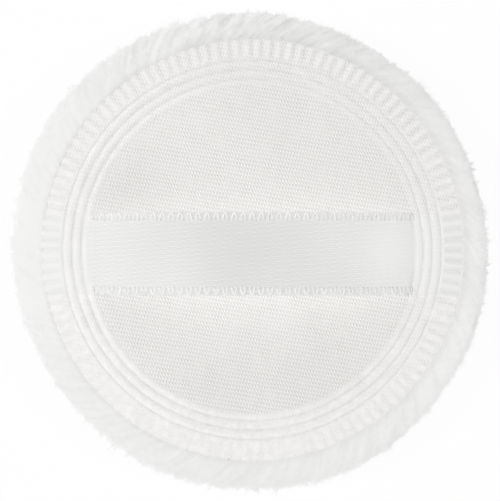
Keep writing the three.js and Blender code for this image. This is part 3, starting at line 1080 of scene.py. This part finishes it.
copies = add_node(plant, "GeometryNodeInstanceOnPoints", {}, {
    "Points": planted.outputs["Points"], "Instance": source.outputs["Geometry"],
    "Rotation": turned.outputs["Rotation"], "Scale": size.outputs["Vector"],
})
end_tree(plant, copies, given["Finish"], pile_out)
print("plush_tufts:", len(plant.nodes), "nodes")

# %% [markdown]
# The mat tells the tree which way the pile is combed at each point. On the rim it is combed outwards, at
# the cut edge it stands up, on the wall it hangs down, and on the far side it is swept to one side. The
# zones are soft steps in height and radius, so one flows into the next.

# %% Which way the pile is combed
coordinates = read_points(mat.data) / MM
normals = read_points(mat.data, "normal")
x, y, z = coordinates.T
radius, angle = np.hypot(x, y), np.arctan2(y, x)
level = np.zeros_like(angle)
outward = np.stack([np.cos(angle), np.sin(angle), level], 1)
sideways = np.stack([-np.sin(angle), np.cos(angle), level], 1)
on_rim = smooth_step(z, WIDEST - 1.5, BORDER_TOP)
below = 1 - smooth_step(z, 1.0, 3.5)
inner = (1 - smooth_step(radius, CUT_RADIUS + 0.2, CUT_RADIUS + 1.2)) * on_rim
edge = smooth_step(z, WIDEST - 1.5, WIDEST) * (1 - on_rim)
wall = smooth_step(z, 2.5, 5.0) * (1 - smooth_step(z, WIDEST - 1.5, WIDEST))
upper = smooth_step(z, 5.0, 8.0)
swept = 0.12 * ripple(x, y + z, 4.0, 41) - 0.35 * smooth_step(y, 0, 38) * (1 - below)
spread = (0.3 + 0.4 * on_rim) * (1 - inner) - 0.3 * inner
combing = normals * (0.5 + 0.4 * inner)[:, None] + outward * spread[:, None] + sideways * swept[:, None]
combing[:, 2] += 0.15 * edge - (0.9 + 0.2 * ripple(x - z, y, 5.0, 43)) * wall
combing = unit(combing)
print("points on the rim:", int((on_rim > 0.5).sum()))

# %% [markdown]
# Three more facts are worked out for each point: how crowded the tufts are, how tall, and how much light and
# shade is painted on them. The pile is painted lighter on the left and at the lower right, and darker on the
# far side and in the crease along the cut edge. The mat is painted a little darker, most on its wall and
# edge. The rim gets the most tufts, since it is what one sees. On the far side the tufts gather into slanted
# locks. "nap" is the slope that the light sees: a soft pile shades like one smooth cushion, not fibre by
# fibre.

# %% How crowded and tall the pile is, and its painted light and shade
# Patches of painted light and shade on the pile: lighter on the left and at the lower right, darker on the
# far side.
PAINTED_PILE_PATCHES = [(-40, 4, 28, 0.24), (10, 39, 24, -0.26), (35, -20, 14, 0.1)]
LEAST_CROWDED, PILE_BASE_TONE, LIP_SHADE = 0.4, 0.76, 0.25
brushed = painted_patches(x, y, PAINTED_PILE_PATCHES)
crowding = 1.0 + 0.7 * smooth_step(z, 2.5, 5.0) + 0.5 * on_rim + 0.8 * inner + 0.6 * wall + 0.5 * edge
slanted = angle * 40 + 0.9 * (radius - CUT_RADIUS)
locks = 0.8 * smooth_step(y, 28, 41) * ripple(slanted, 0.4 * radius, 1.3, 47)
valley = bell(radius - CUT_RADIUS - 0.7, 0.8) * on_rim * (1 - smooth_step(y, -5, 30))
crowding *= 1 + (locks - 0.25 * brushed) * upper
crowding = (np.maximum(crowding, LEAST_CROWDED) + 0.8 * valley) * (1 - 0.1 * edge)
crowding[(z > WIDEST) & (radius < CUT_RADIUS + 0.05)] = 0.0
tallness = 0.8 - 0.1 * below - 0.1 * edge - 0.3 * on_rim - 0.2 * inner
ragged = 0.45 - 0.38 * bell(angle - 0.9, 0.6)
tallness *= 1 + ragged * upper * (1 - on_rim) * ripple(angle * 41, z, 1.2, 53)
nap = unit(normals * (0.35 + 0.65 * below)[:, None] + np.array([0, 0, 1.0]) * (1 - below)[:, None])
# Painted shade darkens the crease where the pile meets the cut edge of the cloth.
at_lip = bell(radius - CUT_RADIUS, 0.6 + 0.25 * np.cos(angle)) * on_rim
brushed += PILE_BASE_TONE - LIP_SHADE * at_lip * (0.8 + 0.3 * np.cos(angle - 0.4))
# The mat is painted a little darker, most on its wall and edge, as painted shade under the tufts.
store(mat, "brushed", brushed - 0.1 - 0.5 * wall - 0.2 * edge)
mat.data.normals_split_custom_set_from_vertices(nap.tolist())
print("crowding from", round(float(crowding.min()), 2), "to", round(float(crowding.max()), 2))

# %% [markdown]
# The pile is grown in eight sectors, so that no piece gets too heavy. Tips that reach the floor are bent
# flat, as the puff's own weight does, and tips that reach over the cloth are pushed back to its cut edge.
# White fibres pass most light on to their neighbours. Instead of tracing that, the tufts throw no shadow
# and no light on each other, and the mat under them keeps the shadow of the puff.

# %% Grow the pile
SECTORS = 8
FIRST_SEED = 101
BENT_BELOW = 0.8
CLOTH_FROM = 8.2
TREE_FACTS = ("crowding", "tallness", "combing", "nap")


def tuck_in(place):
    """Bends the tips that reach the floor, and pushes back those that reach over the cloth."""
    z = place[:, 2]
    bent = BENT_BELOW * np.exp((np.minimum(z, BENT_BELOW) - BENT_BELOW) / BENT_BELOW)
    place[:, 2] = np.where(z < BENT_BELOW, bent, z)
    radius = np.hypot(place[:, 0], place[:, 1])
    least = np.where(place[:, 2] > LIP_TOP - 0.25, LIP_RADIUS - 0.3, CUT_RADIUS + 0.04)
    over_cloth = (radius < least) & (place[:, 2] > CLOTH_FROM)
    place[:, :2] *= np.where(over_cloth, least / np.maximum(radius, ON_AXIS), 1.0)[:, None]
    return place


facts = {
    "crowding": crowding, "tallness": tallness, "combing": combing,
    "nap": nap, "brushed": brushed, "lay": lay,
}
plush_total = 0
for sector in range(SECTORS):
    width = COLUMNS // SECTORS
    sector_columns = (sector * width + np.arange(width + 1)) % COLUMNS
    keep = np.array(starts[:outer_rings])[:, None] + sector_columns
    a, b, c, d = grid_corners(np.arange(keep.size).reshape(keep.shape))
    sector_faces = np.stack([a, d, c, b], 1).tolist()
    ground_part = make_piece(f"sector_{sector}", coordinates[keep.ravel()], sector_faces)
    for name, values in facts.items():
        store(ground_part, name, values[keep.ravel()])
    grown = run_nodes(ground_part, plant, {
        "Tuft": tuft, "Density": 1.7 / MM**2, "Length": 1.1 * MM, "Unevenness": 0.25, "Strays": 1.5,
        "Seed": FIRST_SEED + sector, "Finish": pile,
    })
    drop_piece(ground_part)
    grown.vertices.foreach_set("co", (tuck_in(read_points(grown) / MM) * MM).ravel())
    facing_light = np.zeros(len(grown.vertices) * 3)
    grown.attributes["nap"].data.foreach_get("vector", facing_light)
    for fact in TREE_FACTS:
        grown.attributes.remove(grown.attributes[fact])
    grown.update()
    grown.normals_split_custom_set_from_vertices(facing_light.reshape(-1, 3).tolist())
    grown.name = f"plush_tufts_{sector + 1}"
    tufts = add_object(grown.name, grown)
    tufts.visible_shadow = False
    tufts.visible_diffuse = False
    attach(tufts, "puff")
    plush_total += triangles(tufts)
drop_piece(tuft)
print("plush tufts:", plush_total, "triangles in", SECTORS, "sectors")

# %% [markdown]
# The puff lies on a plain white floor. To the camera the floor adds the white of its own light, so the
# background is white, and the soft shadow stays. The same goes for what a mirror or a glass would show of
# it.

# %% Floor
FLOOR_REACH, FLOOR_DROP, FLOOR_GLOW = 2000, 0.02, 0.94


def background_rays(tree):
    """1 for a ray that looks at the background: from the camera, off a mirror or through glass."""
    rays = tree.nodes.new("ShaderNodeLightPath").outputs
    straight = math_node(tree, "MAXIMUM", rays["Is Camera Ray"], rays["Is Glossy Ray"])
    return math_node(tree, "MAXIMUM", straight, rays["Is Transmission Ray"])


floor_finish = bpy.data.materials.new("white_floor")
floor_finish.use_nodes = True
tree = floor_finish.node_tree
shader = tree.nodes["Principled BSDF"]
shader.inputs["Base Color"].default_value = (0.9, 0.9, 0.9, 1)
shader.inputs["Roughness"].default_value = 0.9
shader.inputs["Specular IOR Level"].default_value = 0.1
glow_share = math_node(tree, "MULTIPLY", background_rays(tree), FLOOR_GLOW)
white = add_node(tree, "ShaderNodeEmission", {}, {"Color": (1, 1, 1, 1), "Strength": 1.0})
mixed = add_node(tree, "ShaderNodeMixShader", {}, {0: glow_share, 1: shader.outputs[0], 2: white.outputs[0]})
tree.links.new(mixed.outputs[0], tree.nodes["Material Output"].inputs["Surface"])
square = ((-1, -1), (1, -1), (1, 1), (-1, 1))
floor_corners = [(x * FLOOR_REACH, y * FLOOR_REACH, -FLOOR_DROP) for x, y in square]
floor = make_piece("floor", floor_corners, [(0, 1, 2, 3)], floor_finish)
print("floor:", 2 * FLOOR_REACH * MM, "m wide")

# %% [markdown]
# The studio is a tent: a white sky that glows low down, all round the puff. Low light brings out the weave
# and the relief. It is brighter on the left, on the near and far sides and along one diagonal, as panels of
# different strength would be. The camera itself sees a plain white sky.

# %% Sky
world = bpy.data.worlds.new("studio")
bpy.context.scene.world = world
world.use_nodes = True
tree = world.node_tree
sky = tree.nodes["Background"]
sky.inputs["Color"].default_value = (1, 1, 1, 1)
around = tree.nodes.new("ShaderNodeTexCoord").outputs["Generated"]
aim = add_node(tree, "ShaderNodeSeparateXYZ", {}, {"Vector": around}).outputs
low_glow = map_range(tree, aim["Z"], (0.05, 0.35), (1.6, 0.05), "SMOOTHSTEP")
left = vector_node(tree, "DOT_PRODUCT", around, (-0.4, 0.0, 0.0))
near_and_far = scaled(tree, math_node(tree, "MULTIPLY", aim["Y"], aim["Y"]), 1.1, 0.8)
corner = vector_node(tree, "DOT_PRODUCT", around, (-0.7, 0.7, 0.0))
panels = scaled(tree, math_node(tree, "MULTIPLY", corner, corner), 0.5, near_and_far)
glow = math_node(tree, "MULTIPLY", low_glow, math_node(tree, "ADD", left, panels))
strength = add_node(tree, "ShaderNodeMix", {"data_type": "FLOAT"}, {
    "Factor": background_rays(tree), "A": glow, "B": 1.0,
})
tree.links.new(strength.outputs["Result"], sky.inputs["Strength"])
print("sky:", len(tree.nodes), "nodes")

# %% [markdown]
# Three narrow lamps stand over the line of the ribbon: a key light on the left, a weaker fill on the right,
# and one beside the camera. Since they stand in one line, the bow throws its shadow along itself and hardly
# any beside it.

# %% Lamps
LAMP_LENGTH, LAMP_WIDTH = 0.30, 0.015


def strip_light(name, place, power):
    light = bpy.data.lights.new(name, "AREA")
    light.shape = "RECTANGLE"
    light.size = LAMP_LENGTH
    light.size_y = LAMP_WIDTH
    light.energy = power
    lamp = add_object(name, light)
    lamp.location = place
    lamp.rotation_euler = (0, math.atan2(place[0], place[2]), 0)


strip_light("key_light", (-0.60, 0.0, 0.75), power=2.75)
strip_light("fill_light", (0.60, 0.0, 0.75), power=1.85)
strip_light("front_light", (-0.06, 0.0, 1.0), power=4.4)
print("lamps: key, fill and front")

# %% [markdown]
# The photograph was taken from straight above. A long lens hardly spreads the heights, so the border keeps
# its true size. The middle of the border is a little to the right of the picture's middle, and the camera
# moves instead. How high it stands follows from the scale of the photograph at the border.

# %% Camera
PIXELS_PER_MM = 5.63
PHOTO_WIDTH_PX = 500
OFF_MIDDLE_X_PX, OFF_MIDDLE_Y_PX = 2.5, 0.5
SENSOR_WIDTH, LENS = 36.0, 200.0
camera_data = bpy.data.cameras.new("camera")
camera_data.sensor_fit = "HORIZONTAL"
camera_data.sensor_width = SENSOR_WIDTH
camera_data.lens = LENS
camera = add_object("camera", camera_data)
camera.location = (
    -OFF_MIDDLE_X_PX / PIXELS_PER_MM * MM,
    -OFF_MIDDLE_Y_PX / PIXELS_PER_MM * MM,
    (BORDER_TOP + PHOTO_WIDTH_PX / PIXELS_PER_MM * LENS / SENSOR_WIDTH) * MM,
)
bpy.context.scene.camera = camera
bpy.context.scene.view_settings.view_transform = "Standard"
print("camera at", [round(v, 4) for v in camera.location])
